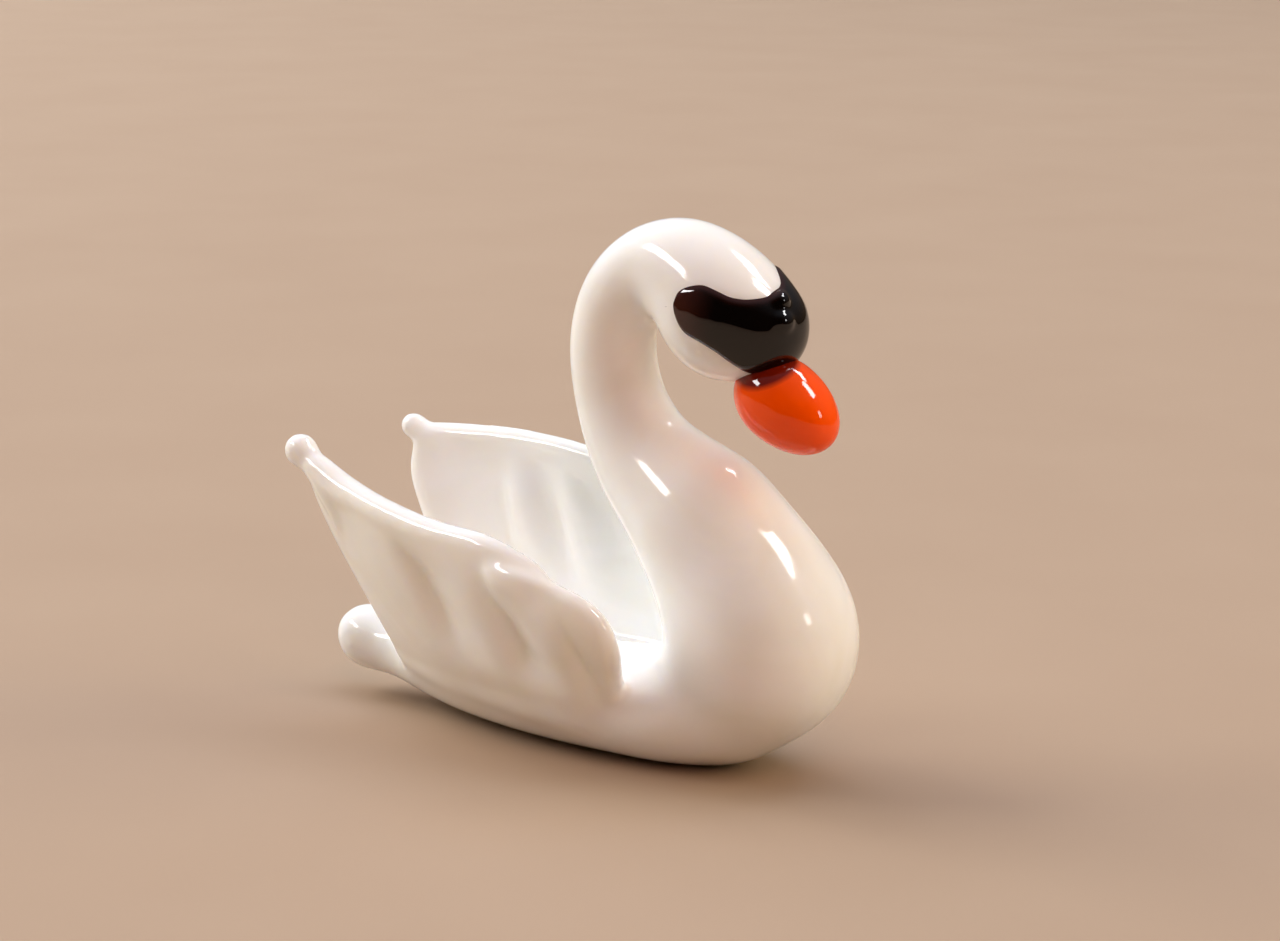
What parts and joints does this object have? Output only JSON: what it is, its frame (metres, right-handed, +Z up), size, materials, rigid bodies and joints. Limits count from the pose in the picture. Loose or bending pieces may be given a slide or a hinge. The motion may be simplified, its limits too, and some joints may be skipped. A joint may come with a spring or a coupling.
{
  "type": "glass swan figurine",
  "caption": "Miniature solid glass swan with a curved neck, cupped wings, a bead tail, a dark face mask and an egg-shaped beak, standing on a small flat on its belly.",
  "frame": {"origin": "on the small flat under the belly that the swan stands on, below the back of its neck", "axes": "+X the way the swan faces, +Y its left, +Z up"},
  "size_m": [0.0285, 0.0126, 0.0245],
  "materials": {
    "opal_white_glass": "fire-polished gloss",
    "black_glass": "fire-polished gloss",
    "orange_glass": "fire-polished gloss"
  },
  "bodies": {
    "root": {"swan_body": "opal_white_glass", "face_mask": "black_glass", "beak": "orange_glass"}
  },
  "joints": []
}
